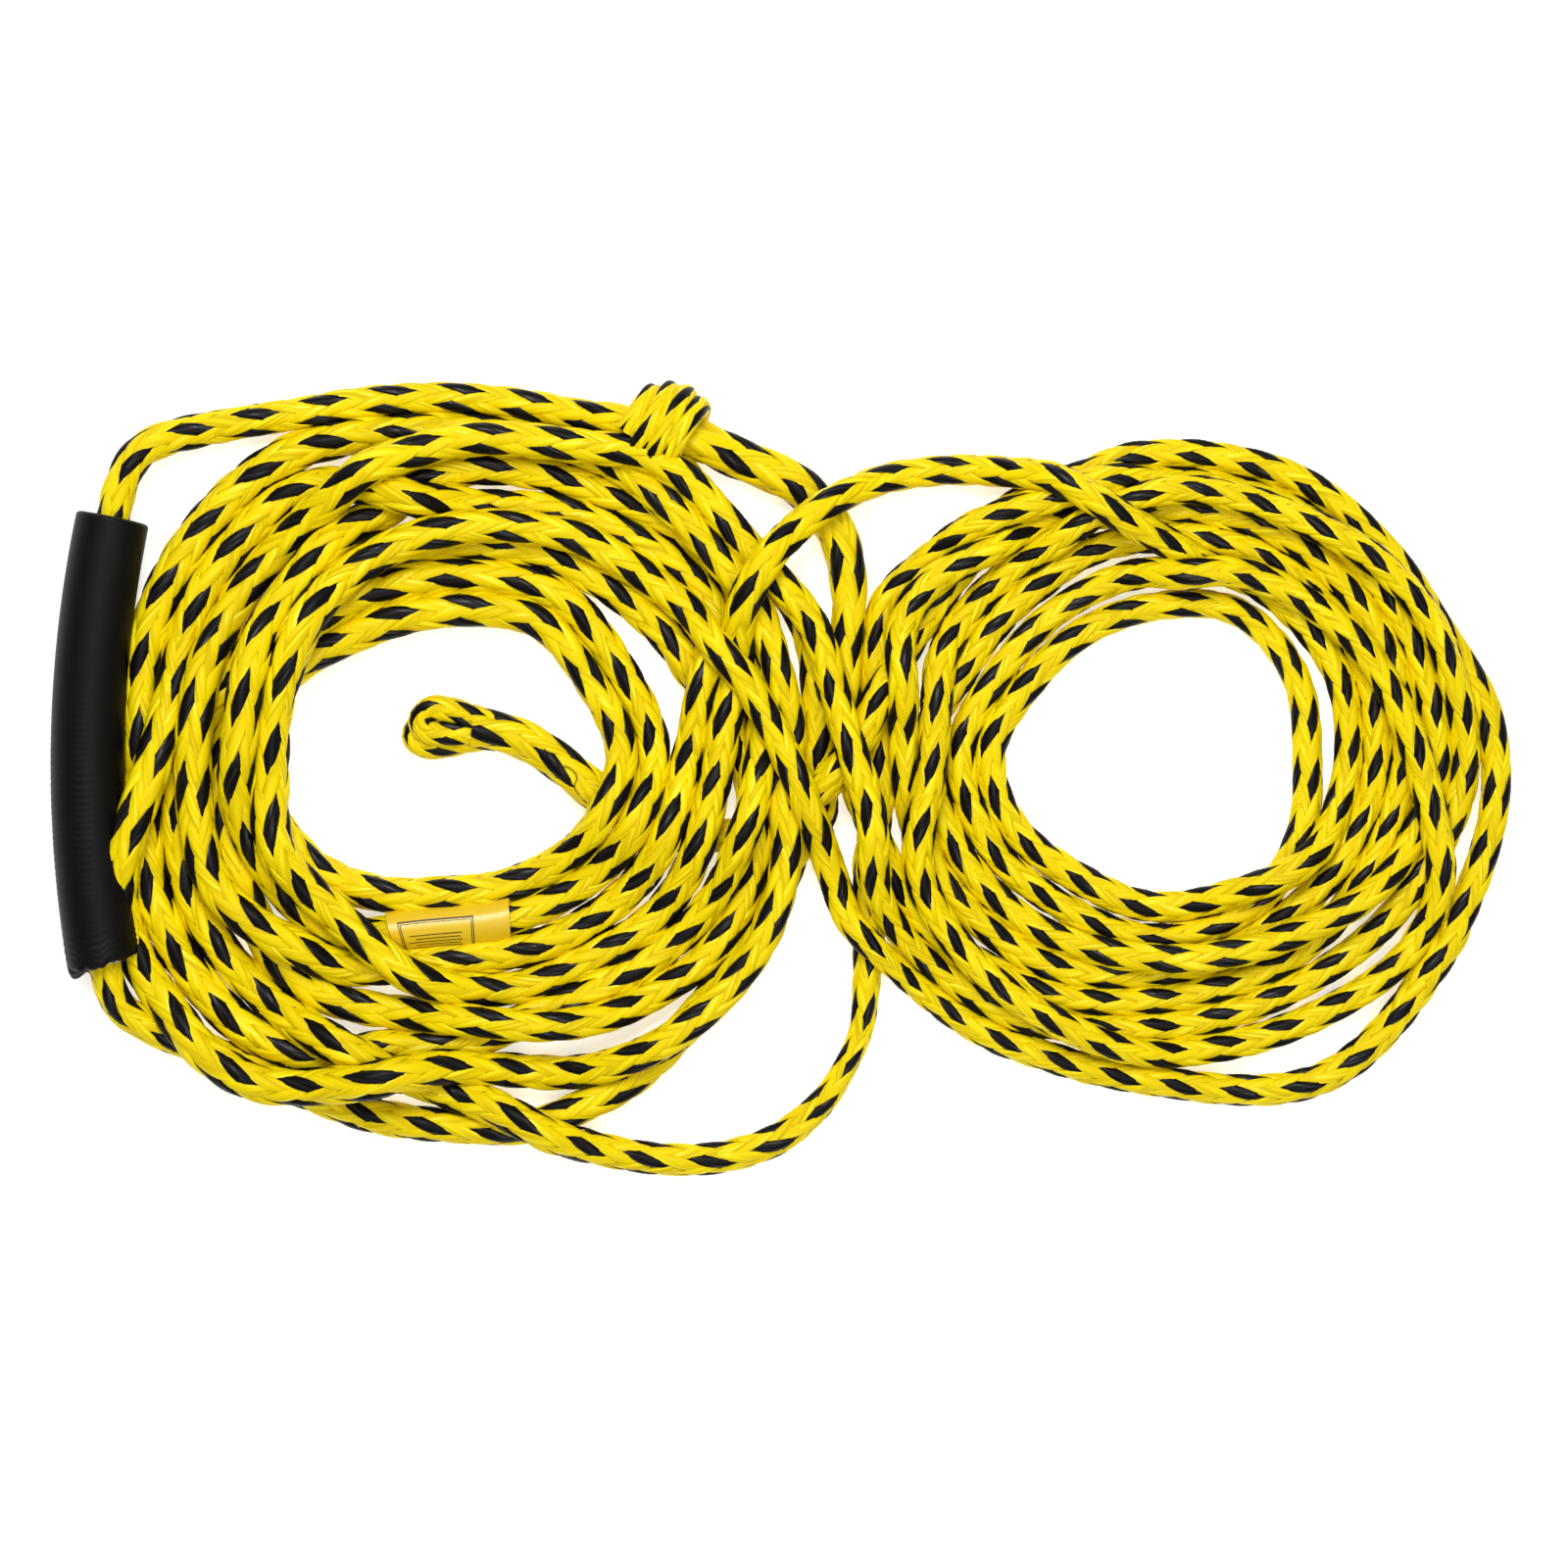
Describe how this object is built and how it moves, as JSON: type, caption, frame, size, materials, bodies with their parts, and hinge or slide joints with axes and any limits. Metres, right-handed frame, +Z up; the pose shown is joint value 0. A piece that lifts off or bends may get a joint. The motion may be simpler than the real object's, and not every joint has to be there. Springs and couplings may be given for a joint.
{
  "type": "tow rope handle",
  "caption": "Bowed black foam grip on the bridle of a thick yellow and black braided tow rope, knotted, spliced and coiled in a figure of eight, with a small end eye.",
  "frame": {"origin": "bottom centre of the foam grip, on the surface that the handle and its rope lie on", "axes": "+Z up, +Y along the grip's length towards the stopper knot's side, +X from the grip towards the coil; the grip's bow bulges towards -X"},
  "size_m": [0.6317, 0.3409, 0.04],
  "materials": {
    "black_foam": "satin closed-cell foam skin",
    "clear_hose": "satin soft hose",
    "yellow_rope": "glossy filament braid with black tracer yarns",
    "label_film": "glossy film"
  },
  "bodies": {
    "rope": {"grip_rope": "yellow_rope", "upper_leg_rope": "yellow_rope", "lower_leg_rope": "yellow_rope", "stopper_knot": "yellow_rope", "splice_rope": "yellow_rope", "crossing_rope": "yellow_rope", "rope_coil": "yellow_rope", "loose_loop_rope": "yellow_rope", "eye_neck_rope": "yellow_rope", "tow_eye": "yellow_rope", "label_rope": "yellow_rope", "label_sleeve": "label_film"},
    "grip": {"foam_grip": "black_foam", "grip_liner": "clear_hose"}
  },
  "joints": [
    {"name": "grip_travel", "type": "hinge", "parent": "rope", "child": "grip", "pos_m": [0.5156, 0, 0.016], "axis": [0, 0, -1], "range_deg": [-0.6, 1.5]}
  ]
}
